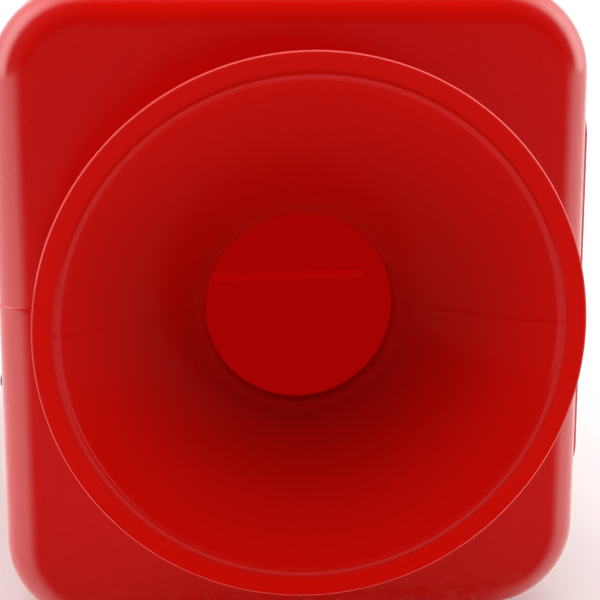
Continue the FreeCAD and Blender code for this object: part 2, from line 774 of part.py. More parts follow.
def make_side_panel():
    z = axis_z - panel_drop
    panel = box((half_width, -panel_length / 2, z - panel_height / 2),
                (half_width + panel_thickness, panel_length / 2, z + panel_height / 2))
    panel = round_edges(panel, Vector(1, 0, 0), panel_corner_radius)
    outer = half_width + panel_thickness
    face = [e for e in panel.Edges if abs(e.BoundBox.XMin - outer) < 1e-3]
    panel = panel.makeFillet(panel_thickness / 3, face)
    for y, z in panel_rivet_points():
        panel = panel.cut(along_x(panel_rivet_radius + hole_clearance, half_width, outer, y, z))
    return panel


def make_panel_rivets():
    seat = half_width + panel_thickness
    rivets = []
    for y, z in panel_rivet_points():
        head = along_x(panel_rivet_head_radius, seat, seat + panel_rivet_head_height, y, z)
        face = [e for e in head.Edges if abs(e.BoundBox.Center.x - seat - panel_rivet_head_height) < 1e-3]
        head = head.makeFillet(panel_rivet_head_height * head_crown, face)
        shank = along_x(panel_rivet_radius, half_width - shell_wall - panel_rivet_tail, seat, y, z)
        rivets.append(head.fuse(shank).removeSplitter())
    return rivets


def make_reflective_strips():
    strips = []
    seat = half_width + panel_thickness
    for side in (-1, 1):
        z = axis_z - panel_drop + side * strip_spacing / 2
        strip = box((seat, -strip_length / 2, z - strip_height / 2),
                    (seat + strip_thickness, strip_length / 2, z + strip_height / 2))
        strips.append(round_edges(strip, Vector(1, 0, 0), strip_corner_radius))
    return strips


def build_nodes():
    tank = make_tank()
    horn = make_horn()
    nodes = {
        "tank_upper_shell": upper_half(tank),
        "tank_lower_shell": lower_half(tank),
        "horn_upper_half": upper_half(horn),
        "horn_lower_half": lower_half(horn),
        "socket_cup": make_socket_cup(),
        "rear_spigot": make_spigot(),
        "spigot_clamp_ring": make_clamp_ring(),
        "spigot_buffer_ring": make_buffer_ring(),
        "spigot_bolts": make_spigot_bolts(),
        "spigot_inserts": make_spigot_inserts(),
        "pin_guide_sleeve": make_pin_guide(),
        "pin_stowage_sleeve": make_pin_stowage(),
        "coupling_pin": make_coupling_pin(),
        "coupling_pin_grips": make_pin_grips(),
        "fill_neck": make_fill_neck(),
        "fill_neck_screws": make_fill_screws(),
        "fill_lid_gasket": make_fill_gasket(),
        "fill_lid": make_fill_lid(),
        "fill_lid_ring": make_fill_ring(),
        "drain_bush": make_drain_bush(),
        "drain_gasket": make_drain_gasket(),
        "drain_plug": make_drain_plug(),
        "lamp_socket": make_lamp_socket(),
        "front_handle": handle_bail(-1),
        "front_handle_grip": handle_grip(-1),
        "front_handle_brackets": handle_brackets(-1),
        "rear_handle": handle_bail(1),
        "rear_handle_grip": handle_grip(1),
        "rear_handle_brackets": handle_brackets(1),
        "handle_screws": make_handle_screws(),
        "skid_screws": make_skid_screws(),
        "side_panel": make_side_panel(),
        "panel_rivets": make_panel_rivets(),
        "reflective_strips": make_reflective_strips(),
    }
    for name, y in tunnel_places().items():
        nodes[name] = make_tunnel(y)
    for name, y in skid_places().items():
        nodes[name] = make_skid(y)
    return nodes


def main():
    os.makedirs("parts", exist_ok=True)
    for name, shape in build_nodes().items():
        solids = shape if isinstance(shape, list) else shape.Solids
        for solid in solids:
            if not solid.isValid():
                print("not valid:", name)
        whole = solids[0] if len(solids) == 1 else Part.makeCompound(solids)
        whole.exportStep(os.path.join("parts", name + ".step"))
        print(name, len(solids), round(whole.Volume / 1000.0, 1), "cm3")


main()
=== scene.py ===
"""Looks of a red water filled barrier block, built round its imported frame, in metres."""
import json
import math

import bmesh
import bpy
from bpy.props import FloatProperty, FloatVectorProperty, IntProperty, PointerProperty
from mathutils import Matrix, Vector


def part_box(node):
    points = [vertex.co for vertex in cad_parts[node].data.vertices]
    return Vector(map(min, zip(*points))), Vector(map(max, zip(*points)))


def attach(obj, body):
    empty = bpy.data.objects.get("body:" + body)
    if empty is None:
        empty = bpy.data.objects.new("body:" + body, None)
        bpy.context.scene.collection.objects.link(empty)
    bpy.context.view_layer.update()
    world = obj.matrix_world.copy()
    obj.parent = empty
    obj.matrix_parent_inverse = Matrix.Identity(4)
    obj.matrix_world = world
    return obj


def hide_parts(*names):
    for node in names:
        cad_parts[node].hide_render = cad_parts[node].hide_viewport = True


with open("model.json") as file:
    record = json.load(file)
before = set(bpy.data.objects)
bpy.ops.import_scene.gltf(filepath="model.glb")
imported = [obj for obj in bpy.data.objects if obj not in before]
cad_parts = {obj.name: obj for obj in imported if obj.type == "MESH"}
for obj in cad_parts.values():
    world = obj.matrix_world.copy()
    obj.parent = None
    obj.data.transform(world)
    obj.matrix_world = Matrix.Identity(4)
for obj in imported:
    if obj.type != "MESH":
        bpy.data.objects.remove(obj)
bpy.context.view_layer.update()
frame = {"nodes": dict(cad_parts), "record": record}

bl_info = {
    "name": "Water filled barrier",
    "version": (1, 0, 0),
    "blender": (4, 5, 0),
    "location": "3D View > Sidebar > Barrier",
    "description": "Builds the visible pieces and finishes of a red water filled barrier block",
    "category": "Object",
}

RECORD = frame["record"]
SLOTS = {part["node"]: part["material_slot"] for part in RECORD["subparts"]}
BODY_OF = {node: body for body, nodes in RECORD["behaviour"]["bodies"].items() for node in nodes}
MOUNTS = {mount["name"]: mount for mount in RECORD["mounts"]}
ROOT = "barrier"

HORN_LO, HORN_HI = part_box("horn_upper_half")
TANK_LO, TANK_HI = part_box("tank_upper_shell")
CUP_LO, CUP_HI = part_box("socket_cup")
AXIS_Z = MOUNTS["socket_bore"]["pos_m"][2]
SOCKET_RADIUS = MOUNTS["socket_bore"]["dims"]["r_mm"] / 1000
SOCKET_LENGTH = MOUNTS["socket_bore"]["dims"]["length_mm"] / 1000

SAME_POINT = 2e-6
SHARP_ANGLE = 35
CUP_CORNER = 0.006
SEAM_HALF_WIDTH, SEAM_HEIGHT = 0.0033, 0.0011
SENSOR_WIDTH = 36.0
WORLD_STRENGTH = 2.7
WORLD_STOPS = ((0.28, 0.03), (0.46, 0.88), (0.54, 1.0), (0.66, 0.7), (0.80, 0.38), (0.99, 0.38))


# --- Settings a user would change ---------------------------------------------------------------
class FinishSettings(bpy.types.PropertyGroup):
    red: FloatVectorProperty(name="Red", description="Main colour of the moulded tank and horn",
                             subtype="COLOR", size=3, min=0, max=1, default=(0.50, 0.0030, 0.0012))
    deep_red: FloatVectorProperty(name="Deep red", description="Darker red in the plastic's clouding",
                                  subtype="COLOR", size=3, min=0, max=1, default=(0.45, 0.0022, 0.0010))
    scuff: FloatVectorProperty(name="Scuff", description="Whitened red of light scratches",
                               subtype="COLOR", size=3, min=0, max=1, default=(0.62, 0.03, 0.018))
    dust: FloatVectorProperty(name="Dust", description="Road dust on the lower parts",
                              subtype="COLOR", size=3, min=0, max=1, default=(0.30, 0.22, 0.16))
    black: FloatVectorProperty(name="Black fittings", description="Colour of the black plastic fittings",
                               subtype="COLOR", size=3, min=0, max=1, default=(0.018, 0.018, 0.019))


class HornSettings(bpy.types.PropertyGroup):
    lip: FloatProperty(name="Lip width", description="Band between the rim and the bead",
                       default=0.0175, unit="LENGTH")
    lip_drop: FloatProperty(name="Lip drop", description="How far the bead lies behind the rim",
                            default=0.0043, unit="LENGTH")
    bead: FloatProperty(name="Bead height", description="Height of the round bead inside the lip",
                        default=0.0016, unit="LENGTH")
    bead_half: FloatProperty(name="Bead half width", description="Half the width of the bead",
                             default=0.0034, unit="LENGTH")
    wall: FloatProperty(name="Wall", description="Thickness of the horn's wall",
                        default=0.006, unit="LENGTH")
    rim_edge: FloatProperty(name="Rim edge", description="Rounding of the cut rim",
                            default=0.0009, unit="LENGTH")
    throat: FloatProperty(name="Throat rounding", description="Rounding where the horn meets the socket",
                          default=0.007, unit="LENGTH")
    bow: FloatProperty(name="Bow", description="How far the horn's face bows from a straight cone",
                       default=0.003, unit="LENGTH")
    seam_upper: FloatProperty(name="Upper seam ridge", description="Height of the mould seam, upper half",
                              default=0.0005, unit="LENGTH")
    seam_lower: FloatProperty(name="Lower seam ridge", description="Height of the mould seam, lower half",
                              default=0.00008, unit="LENGTH")
    segments: IntProperty(name="Segments", description="Steps round half the horn", default=160, min=16)


class StageSettings(bpy.types.PropertyGroup):
    distance: FloatProperty(name="Distance", description="Camera to the horn's rim centre along the block",
                            default=1.1392, unit="LENGTH")
    aside: FloatProperty(name="Aside", description="Camera's offset to the left of the horn's axis",
                         default=0.1475, unit="LENGTH")
    above: FloatProperty(name="Above", description="Camera's height above the horn's axis",
                         default=0.2765, unit="LENGTH")
    yaw: FloatProperty(name="Yaw", description="Camera's turn to the right",
                       default=math.radians(6.87), subtype="ANGLE")
    pitch: FloatProperty(name="Pitch", description="Camera's tilt down",
                         default=math.radians(12.4), subtype="ANGLE")
    lens: FloatProperty(name="Lens", description="Focal length in millimetres on a 36 mm sensor",
                        default=99.28)
    floor: FloatProperty(name="Floor size", description="Side of the pale floor",
                         default=30.0, unit="LENGTH")


# --- Shader building ------------------------------------------------------------------------------
class Value:
    """A number socket that can be used in arithmetic."""

    def __init__(self, finish, socket):
        self.finish = finish
        self.socket = socket

    def math(self, operation, first, second):
        return self.finish.node("ShaderNodeMath", {"operation": operation}, {0: first, 1: second})

    def __add__(self, other):
        return self.math("ADD", self, other)

    def __radd__(self, other):
        return self.math("ADD", other, self)

    def __sub__(self, other):
        return self.math("SUBTRACT", self, other)

    def __rsub__(self, other):
        return self.math("SUBTRACT", other, self)

    def __mul__(self, other):
        return self.math("MULTIPLY", self, other)

    def __rmul__(self, other):
        return self.math("MULTIPLY", other, self)

    def clamped(self, low, high, to_low=0.0, to_high=1.0):
        """This value's range low..high spread over to_low..to_high, and held there outside it."""
        return self.finish.node("ShaderNodeMapRange", {"clamp": True}, {
            "Value": self, "From Min": low, "From Max": high, "To Min": to_low, "To Max": to_high})


class Finish:
    """The shader nodes of one material, or of the world, under construction."""

    def __init__(self, name, world=None):
        self.owner = world or bpy.data.materials.new("looks_" + name)
        self.owner.use_nodes = True
        self.tree = self.owner.node_tree
        self.tree.nodes.clear()
        self.place = self.node("ShaderNodeTexCoord", output="Object")

    def node(self, kind, settings=None, inputs=None, output=0):
        made = self.tree.nodes.new(kind)
        for key, value in (settings or {}).items():
            setattr(made, key, value)
        for key, value in (inputs or {}).items():
            if isinstance(value, Value):
                self.tree.links.new(value.socket, made.inputs[key])
            else:
                made.inputs[key].default_value = value
        return Value(self, made.outputs[output])

    def stretched(self, scale, centre=(0, 0, 0), turn=(0, 0, 0)):
        return self.node("ShaderNodeMapping", None, {
            "Vector": self.place, "Location": centre, "Rotation": turn, "Scale": scale})

    def noise(self, scale, detail=3.0, rough=0.5, vector=None):
        return self.node("ShaderNodeTexNoise", None, {
            "Vector": vector or self.place, "Scale": scale, "Detail": detail, "Roughness": rough})

    def axis(self, name):
        return self.node("ShaderNodeSeparateXYZ", None, {0: self.place}, name)

    def from_axis(self):
        """Distance from the horn's axis."""
        across = self.stretched((1, 0, 1), centre=(0, 0, -AXIS_Z))
        return self.node("ShaderNodeVectorMath", {"operation": "LENGTH"}, {0: across}, "Value")

    def mix(self, factor, first, second):
        first, second = (c if isinstance(c, Value) else (*c[:3], 1.0) for c in (first, second))
        return self.node("ShaderNodeMix", {"data_type": "RGBA"}, {0: factor, 6: first, 7: second}, 2)

    def bump(self, height, distance, strength=1.0, normal=None):
        inputs = {"Height": height, "Distance": distance, "Strength": strength}
        if normal:
            inputs["Normal"] = normal
        return self.node("ShaderNodeBump", None, inputs)

    def surface(self, colour, roughness, normal=None, **constants):
        inputs = {"Base Color": colour, "Roughness": roughness}
        if normal:
            inputs["Normal"] = normal
        for key, value in constants.items():
            inputs[key.replace("_", " ")] = value
        return self.close("ShaderNodeOutputMaterial", self.node("ShaderNodeBsdfPrincipled", None, inputs))

    def close(self, kind, shader):
        output = self.tree.nodes.new(kind)
        self.tree.links.new(shader.socket, output.inputs["Surface"])
        return self.owner


# --- Materials ------------------------------------------------------------------------------------
def scratches(finish, scale, turn, low, high):
    """Mask of fine scratches that run one way."""
    stretched = finish.stretched(scale, turn=turn)
    return finish.noise(1.0, 2.0, 0.6, stretched).clamped(low, high)


def moulded_red(name, settings, gloss=0.24, clouding=1.0, scuffing=1.0, glow=0.12, dusty=True,
                depth=1.0, shine=0.09, funnel=False, ends=None):
    """Glossy moulded polyethylene: clouded red, faint orange peel, light scuffs and low dust, with a red
    emission that is painted glow; the funnel also gets painted shade and light by radius.
    """
    f = Finish(name)
    cloud = f.noise(5.0, 4.0, 0.55).clamped(0.35, 0.68)
    speckle = f.noise(420.0, 2.0, 0.6).clamped(0.66, 0.78)
    red, deep = ([c * depth for c in tone] for tone in (settings.red, settings.deep_red))
    colour = f.mix(cloud * (0.75 * clouding), red, deep)
    colour = f.mix(speckle * 0.10, colour, settings.scuff)
    long_marks = scratches(f, (300.0, 9.0, 260.0), (0.2, 0.1, 0.05), 0.70, 0.80)
    cross_marks = scratches(f, (14.0, 320.0, 280.0), (0.1, 0.5, 0.3), 0.71, 0.82)
    worn = f.noise(7.0, 2.0).clamped(0.5, 0.75)
    marks = (long_marks + cross_marks) * worn * scuffing
    colour = f.mix(marks * 0.30, colour, settings.scuff)
    roughness = f.noise(26.0, 3.0).clamped(0.3, 0.7, gloss - 0.03, gloss + 0.05) + marks * 0.22
    if dusty:
        low = f.axis("Z").clamped(0.060, 0.02)
        dirt = f.noise(120.0, 5.0, 0.65).clamped(0.45, 0.75) * low
        colour = f.mix(dirt * 0.25, colour, settings.dust)
        roughness = roughness + dirt * 0.3
    peel = f.noise(700.0, 2.0, 0.5)
    wave = f.noise(11.0, 2.0, 0.4)
    normal = f.bump(peel, 0.00003, 0.6, f.bump(wave, 0.0012, 0.5, f.bump(marks, 0.0001, 0.4)))
    constants = {"Specular_IOR_Level": shine}
    if funnel:
        # Painted shade and painted light by radius: darker red near the throat, lighter red over the outer
        # funnel and lightest on the lip band.
        radius = f.from_axis()
        colour = f.mix(radius.clamped(0.115, 0.076), colour, tuple(0.92 * c for c in red))
        colour = f.mix(radius.clamped(0.120, 0.175), colour, tuple(1.22 * c for c in red))
        colour = f.mix(radius.clamped(0.182, 0.187), colour, tuple(1.42 * c for c in red))
        roughness = roughness + radius.clamped(0.090, 0.078) * 0.4
        bead = radius.clamped(0.1785, 0.1805) * radius.clamped(0.1862, 0.1842)
        constants["Coat_Weight"] = bead * 0.28 + radius.clamped(0.1984, 0.1992)
        constants["Coat_Roughness"] = 0.12
    if ends:
        along, across = (f.node("ShaderNodeMath", {"operation": "ABSOLUTE"}, {0: f.axis(k)}) for k in "YX")
        constants["Coat_Weight"] = (along.clamped(ends - 0.0006, ends - 0.003)
                                    * along.clamped(ends - 0.055, ends - 0.035)
                                    * across.clamped(0.15, 0.20))
        constants["Coat_IOR"] = 1.8
        constants["Coat_Roughness"] = 0.16
    # Painted glow: a red emission that stands in for light coming through the thin walls and for soft fill
    # light.
    constants["Emission_Color"] = (settings.red[0], 0.0012, 0.0009, 1.0)
    constants["Emission_Strength"] = glow
    return f.surface(colour, roughness, normal, **constants)


def grained_black(name, settings):
    """Matt black moulded plastic with a fine grain and pale wear."""
    f = Finish(name)
    grain = f.noise(1400.0, 3.0, 0.6)
    wear = f.noise(45.0, 4.0, 0.6).clamped(0.55, 0.8)
    grey = tuple(c * 3.2 for c in settings.black)
    colour = f.mix(wear * 0.6, settings.black, grey)
    normal = f.bump(grain, 0.00012, 0.7)
    return f.surface(colour, wear.clamped(0, 1, 0.42, 0.6), normal)


def dusty_rubber(name, settings):
    """Black rubber with dust in its pores."""
    f = Finish(name)
    pores = f.noise(900.0, 4.0, 0.7)
    dust = f.noise(38.0, 5.0, 0.65).clamped(0.42, 0.75)
    dark = (0.014, 0.014, 0.014)
    dusted = tuple(0.02 + 0.25 * c for c in settings.dust)
    colour = f.mix(dust * 0.7, dark, dusted)
    normal = f.bump(pores, 0.0002, 0.8)
    return f.surface(colour, dust.clamped(0, 1, 0.68, 0.88), normal, Specular_IOR_Level=0.3)


def plated_steel(name):
    """Zinc plated steel: cloudy spangle, fine drawing marks and a little white rust."""
    f = Finish(name)
    spangle = f.node("ShaderNodeTexVoronoi", None, {"Vector": f.place, "Scale": 190.0}, "Color")
    tone = f.node("ShaderNodeSeparateColor", None, {0: spangle}, 0)
    drawn = f.noise(1.0, 2.0, 0.5, f.stretched((60.0, 900.0, 900.0)))
    rust = f.noise(55.0, 5.0, 0.7).clamped(0.62, 0.78)
    colour = f.mix(tone * 0.5, (0.52, 0.53, 0.54), (0.66, 0.67, 0.66))
    colour = f.mix(rust * 0.6, colour, (0.36, 0.30, 0.24))
    roughness = drawn.clamped(0.3, 0.7, 0.26, 0.4) + rust * 0.3
    return f.surface(colour, roughness, f.bump(drawn, 0.00004, 0.5), Metallic=1.0 - rust * 0.5)


def turned_brass(name):
    """Brass inserts with turning marks."""
    f = Finish(name)
    turned = f.noise(1.0, 2.0, 0.5, f.stretched((90.0, 1500.0, 90.0)))
    colour = f.mix(turned.clamped(0.3, 0.7), (0.62, 0.43, 0.17), (0.78, 0.58, 0.27))
    return f.surface(colour, turned.clamped(0.3, 0.7, 0.25, 0.42), f.bump(turned, 0.00003), Metallic=1.0)


def honeycomb_sheet(name, settings):
    """White retroreflective sheet: small sealed cells with pale walls, and road film."""
    f = Finish(name)
    cells = f.node("ShaderNodeTexVoronoi", {"feature": "DISTANCE_TO_EDGE"}, {
        "Vector": f.place, "Scale": 260.0, "Randomness": 0.25}, "Distance")
    wall = cells.clamped(0.02, 0.09, 1.0, 0.0)
    film = f.noise(14.0, 5.0, 0.6).clamped(0.4, 0.8)
    streak = f.noise(1.0, 3.0, 0.6, f.stretched((20.0, 120.0, 5.0))).clamped(0.55, 0.8)
    colour = f.mix(wall, (0.70, 0.72, 0.73), (0.86, 0.87, 0.87))
    colour = f.mix(film * 0.25 + streak * 0.2, colour, settings.dust)
    roughness = wall.clamped(0, 1, 0.16, 0.34) + film * 0.15
    return f.surface(colour, roughness, f.bump(wall, 0.00015, 0.6), Metallic=0.25, Coat_Weight=0.4)


def make_materials():
    """One finish for each of the record's material slots, and two for special pieces."""
    settings = bpy.context.scene.barrier_finish
    moulded_red("tank_plastic", settings, depth=1.24, ends=TANK_HI.y)
    # The horn's finish has painted shade and light by radius, and a faint painted glow.
    moulded_red("horn_plastic", settings, gloss=0.20, clouding=0.5, scuffing=0.4, glow=0.02, dusty=False,
                shine=0.025, funnel=True)
    # The socket cup and its seam are lit by painted glow: a dark base colour under a strong red emission
    # that stands in for light through the thin walls.
    moulded_red("socket_glow", settings, gloss=0.5, clouding=0.2, scuffing=0.1, glow=0.69, dusty=False,
                depth=0.15, shine=0.0)
    moulded_red("seam_glow", settings, gloss=0.5, clouding=0.2, scuffing=0.1, glow=0.78, dusty=False,
                depth=0.2, shine=0.0)
    moulded_red("spigot_plastic", settings, gloss=0.26, scuffing=2.2, dusty=False, depth=1.2)
    moulded_red("panel_plastic", settings, gloss=0.30, clouding=0.6, dusty=False, depth=1.2,
                ends=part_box("side_panel")[1].y + 0.003)
    grained_black("fitting_plastic", settings)
    dusty_rubber("black_rubber", settings)
    plated_steel("plated_steel")
    turned_brass("brass")
    honeycomb_sheet("reflective_sheet", settings)


def material(slot):
    """This add-on's finish for a slot, made with all the others when first asked for."""
    if "looks_" + slot not in bpy.data.materials:
        make_materials()
    return bpy.data.materials["looks_" + slot]


# --- Mesh helpers ---------------------------------------------------------------------------------
def new_object(name, mesh):
    thing = bpy.data.objects.new(name, mesh)
    bpy.context.scene.collection.objects.link(thing)
    return thing


def object_from(name, bm, smooth=math.radians(SHARP_ANGLE)):
    mesh = bpy.data.meshes.new(name)
    bm.to_mesh(mesh)
    bm.free()
    mesh.shade_smooth()
    mesh.set_sharp_from_angle(angle=smooth)
    return new_object(name, mesh)


def settle(thing):
    """Makes what the modifiers give into the object's own mesh."""
    graph = bpy.context.evaluated_depsgraph_get()
    graph.update()
    mesh = bpy.data.meshes.new_from_object(thing.evaluated_get(graph), depsgraph=graph)
    thing.modifiers.clear()
    old = thing.data
    thing.data = mesh
    mesh.name = thing.name
    if old.users == 0:
        bpy.data.meshes.remove(old)
    return thing


def adopt(thing, body, slot, finish, *nodes):
    """Gives a finished piece its material and its body, and hides the CAD nodes that it stands for."""
    thing.data.materials.clear()
    thing.data.materials.append(material(finish))
    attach(thing, body)
    if nodes:
        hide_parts(*nodes)
    return thing


def merged_copy(node):
    """The CAD node's faces as one joined mesh, flat faces whole."""
    bm = bmesh.new()
    bm.from_mesh(frame["nodes"][node].data)
    bmesh.ops.remove_doubles(bm, verts=bm.verts, dist=SAME_POINT)
    bmesh.ops.dissolve_limit(bm, angle_limit=math.radians(0.4), verts=bm.verts, edges=bm.edges)
    return bm


def finished_node(node, edge=0.0008, steps=2, finish=None, sharp=SHARP_ANGLE):
    """A CAD node with its hard edges rounded and its curved faces smooth."""
    piece = object_from("looks_" + node, merged_copy(node), math.radians(sharp))
    if edge:
        bevel = piece.modifiers.new("edges", "BEVEL")
        bevel.width = edge
        bevel.segments = steps
        bevel.limit_method = "ANGLE"
        bevel.angle_limit = math.radians(sharp)
        bevel.harden_normals = False
    weights = piece.modifiers.new("normals", "WEIGHTED_NORMAL")
    weights.keep_sharp = True
    settle(piece)
    slot = SLOTS[node]
    return adopt(piece, BODY_OF[node], slot, finish or slot, node)


def spun(name, rings, closed_ends):
    """A mesh from rings of points, each ring the outline at one angle."""
    bm = bmesh.new()
    made = [[bm.verts.new(p) for p in ring] for ring in rings]
    count = len(made[0])
    pairs = list(zip(made, made[1:]))
    if not closed_ends:
        pairs.append((made[-1], made[0]))
    for near, far in pairs:
        for i in range(count):
            j = (i + 1) % count
            bm.faces.new((near[i], near[j], far[j], far[i]))
    if closed_ends:
        bm.faces.new(made[0])
        bm.faces.new(list(reversed(made[-1])))
    bmesh.ops.remove_doubles(bm, verts=bm.verts, dist=1e-6)
    bmesh.ops.recalc_face_normals(bm, faces=bm.faces)
    return object_from(name, bm)


def arc_points(centre, radius, start, end, steps):
    return [(centre[0] + radius * math.cos(start + (end - start) * i / steps),
             centre[1] + radius * math.sin(start + (end - start) * i / steps))
            for i in range(steps + 1)]


def bowed_points(a, b, bow, steps):
    """Points from a to b on a shallow curve, pushed aside by bow in the middle."""
    length = math.dist(a, b)
    side = (-(b[1] - a[1]) / length, (b[0] - a[0]) / length)
    points = []
    for i in range(steps + 1):
        t = i / steps
        push = bow * 4 * t * (1 - t)
        points.append((a[0] + (b[0] - a[0]) * t + side[0] * push,
                       a[1] + (b[1] - a[1]) * t + side[1] * push))
    return points


# --- Geometry Nodes ---------------------------------------------------------------------------------
class Tree:
    """A Geometry Nodes tree with named inputs."""

    def __init__(self, name):
        self.group = bpy.data.node_groups.new(name, "GeometryNodeTree")
        self.group.is_modifier = True
        self.group.interface.new_socket("Geometry", in_out="INPUT", socket_type="NodeSocketGeometry")
        self.entry = self.group.nodes.new("NodeGroupInput")

    def input(self, name, kind, default):
        made = self.group.interface.new_socket(name, in_out="INPUT", socket_type="NodeSocket" + kind)
        if default is not None:
            made.default_value = default
        return self.entry.outputs[name]

    def node(self, kind, settings=None, inputs=None, output=0):
        made = self.group.nodes.new(kind)
        for key, value in (settings or {}).items():
            setattr(made, key, value)
        for key, value in (inputs or {}).items():
            if isinstance(value, bpy.types.NodeSocket):
                self.group.links.new(value, made.inputs[key])
            else:
                made.inputs[key].default_value = value
        return made.outputs[output]

    def times(self, first, second):
        return self.node("ShaderNodeMath", {"operation": "MULTIPLY"}, {0: first, 1: second})

    def join(self, *parts):
        made = self.group.nodes.new("GeometryNodeJoinGeometry")
        for part in parts:
            self.group.links.new(part, made.inputs[0])
        return made.outputs[0]

    def finish(self, geometry, finish):
        real = self.node("GeometryNodeRealizeInstances", None, {0: geometry})
        shaded = self.node("GeometryNodeSetShadeSmooth", None, {0: real})
        coated = self.node("GeometryNodeSetMaterial", None, {0: shaded, "Material": finish})
        self.group.interface.new_socket("Geometry", in_out="OUTPUT", socket_type="NodeSocketGeometry")
        exit_node = self.group.nodes.new("NodeGroupOutput")
        self.group.links.new(coated, exit_node.inputs[0])
        return self.group


def fastener_tree():
    """Round headed fasteners with a sunk drive, one at each point of the input."""
    found = bpy.data.node_groups.get("fasteners")
    if found:
        return found
    t = Tree("fasteners")
    points = t.entry.outputs[0]
    head_radius = t.input("Head Radius", "Float", 0.005)
    head_height = t.input("Head Height", "Float", 0.003)
    drive_radius = t.input("Drive Radius", "Float", 0.0)
    drive_sides = t.input("Drive Sides", "Int", 6)
    shank_radius = t.input("Shank Radius", "Float", 0.003)
    shank_length = t.input("Shank Length", "Float", 0.01)
    dome = t.input("Dome", "Float", 0.5)
    axis = t.input("Axis", "Vector", (0, 0, 1))
    finish = t.input("Material", "Material", None)

    ball = t.node("GeometryNodeMeshUVSphere", None, {"Segments": 40, "Rings": 20, "Radius": 1.0})
    flat = t.node("ShaderNodeCombineXYZ", None, {
        0: head_radius, 1: head_radius, 2: t.times(head_height, dome)})
    cap = t.node("GeometryNodeTransform", None, {0: ball, "Scale": flat})
    lift = t.node("ShaderNodeCombineXYZ", None, {2: t.times(head_height, t.node(
        "ShaderNodeMath", {"operation": "SUBTRACT"}, {0: 1.0, 1: dome}))})
    cap = t.node("GeometryNodeTransform", None, {0: cap, "Translation": lift})
    base_height = t.node("ShaderNodeMath", {"operation": "MAXIMUM"}, {0: t.times(head_height, t.node(
        "ShaderNodeMath", {"operation": "SUBTRACT"}, {0: 1.0, 1: dome})), 1: 0.0002})
    rim = t.node("GeometryNodeMeshCylinder", None, {
        "Vertices": 40, "Radius": head_radius, "Depth": base_height})
    up = t.node("ShaderNodeCombineXYZ", None, {2: t.times(base_height, 0.5)})
    rim = t.node("GeometryNodeTransform", None, {0: rim, "Translation": up})
    below = t.node("GeometryNodeMeshCube", None, {"Size": (0.2, 0.2, 0.1)})
    below = t.node("GeometryNodeTransform", None, {0: below, "Translation": (0, 0, -0.05)})
    cap = t.node("GeometryNodeMeshBoolean", {"operation": "DIFFERENCE"}, {0: cap, 1: below})
    head = t.node("GeometryNodeMeshBoolean", {"operation": "UNION"}, {1: t.join(cap, rim)})
    drive = t.node("GeometryNodeMeshCylinder", None, {
        "Vertices": drive_sides, "Radius": drive_radius, "Depth": head_height})
    top = t.node("ShaderNodeCombineXYZ", None, {2: head_height})
    drive = t.node("GeometryNodeTransform", None, {0: drive, "Translation": top})
    cut = t.node("GeometryNodeMeshBoolean", {"operation": "DIFFERENCE"}, {0: head, 1: drive})
    driven = t.node("FunctionNodeCompare", {"data_type": "FLOAT", "operation": "GREATER_THAN"},
                    {0: drive_radius, 1: 0.00001})
    head = t.node("GeometryNodeSwitch", {"input_type": "GEOMETRY"}, {0: driven, 1: head, 2: cut})
    shank = t.node("GeometryNodeMeshCylinder", None, {
        "Vertices": 20, "Radius": shank_radius, "Depth": shank_length})
    down = t.node("ShaderNodeCombineXYZ", None, {2: t.times(shank_length, -0.5)})
    shank = t.node("GeometryNodeTransform", None, {0: shank, "Translation": down})
    turned = t.node("FunctionNodeAlignRotationToVector", {"axis": "Z"}, {"Vector": axis})
    placed = t.node("GeometryNodeInstanceOnPoints", None, {
        "Points": points, "Instance": t.join(head, shank), "Rotation": turned})
    return t.finish(placed, finish)


def hoop_tree():
    """Round hoops in a row along an axis, such as the ribs of a grip."""
    found = bpy.data.node_groups.get("hoops")
    if found:
        return found
    t = Tree("hoops")
    points = t.entry.outputs[0]
    radius = t.input("Radius", "Float", 0.01)
    thickness = t.input("Thickness", "Float", 0.001)
    count = t.input("Count", "Int", 8)
    spacing = t.input("Spacing", "Float", 0.006)
    axis = t.input("Axis", "Vector", (1, 0, 0))
    finish = t.input("Material", "Material", None)
    circle = t.node("GeometryNodeCurvePrimitiveCircle", None, {"Resolution": 48, "Radius": radius})
    outline = t.node("GeometryNodeCurvePrimitiveCircle", None, {"Resolution": 10, "Radius": thickness})
    hoop = t.node("GeometryNodeCurveToMesh", None, {0: circle, 1: outline})
    step = t.node("ShaderNodeVectorMath", {"operation": "SCALE"}, {0: axis, "Scale": spacing})
    half = t.times(t.node("ShaderNodeMath", {"operation": "SUBTRACT"}, {0: count, 1: 1.0}), -0.5)
    start = t.node("ShaderNodeVectorMath", {"operation": "SCALE"}, {0: step, "Scale": half})
    row = t.node("GeometryNodeMeshLine", None, {"Count": count, "Start Location": start, "Offset": step})
    turned = t.node("FunctionNodeAlignRotationToVector", {"axis": "Z"}, {"Vector": axis})
    hoops = t.node("GeometryNodeInstanceOnPoints", None, {
        "Points": row, "Instance": hoop, "Rotation": turned})
    placed = t.node("GeometryNodeInstanceOnPoints", None, {"Points": points, "Instance": hoops})
    return t.finish(placed, finish)


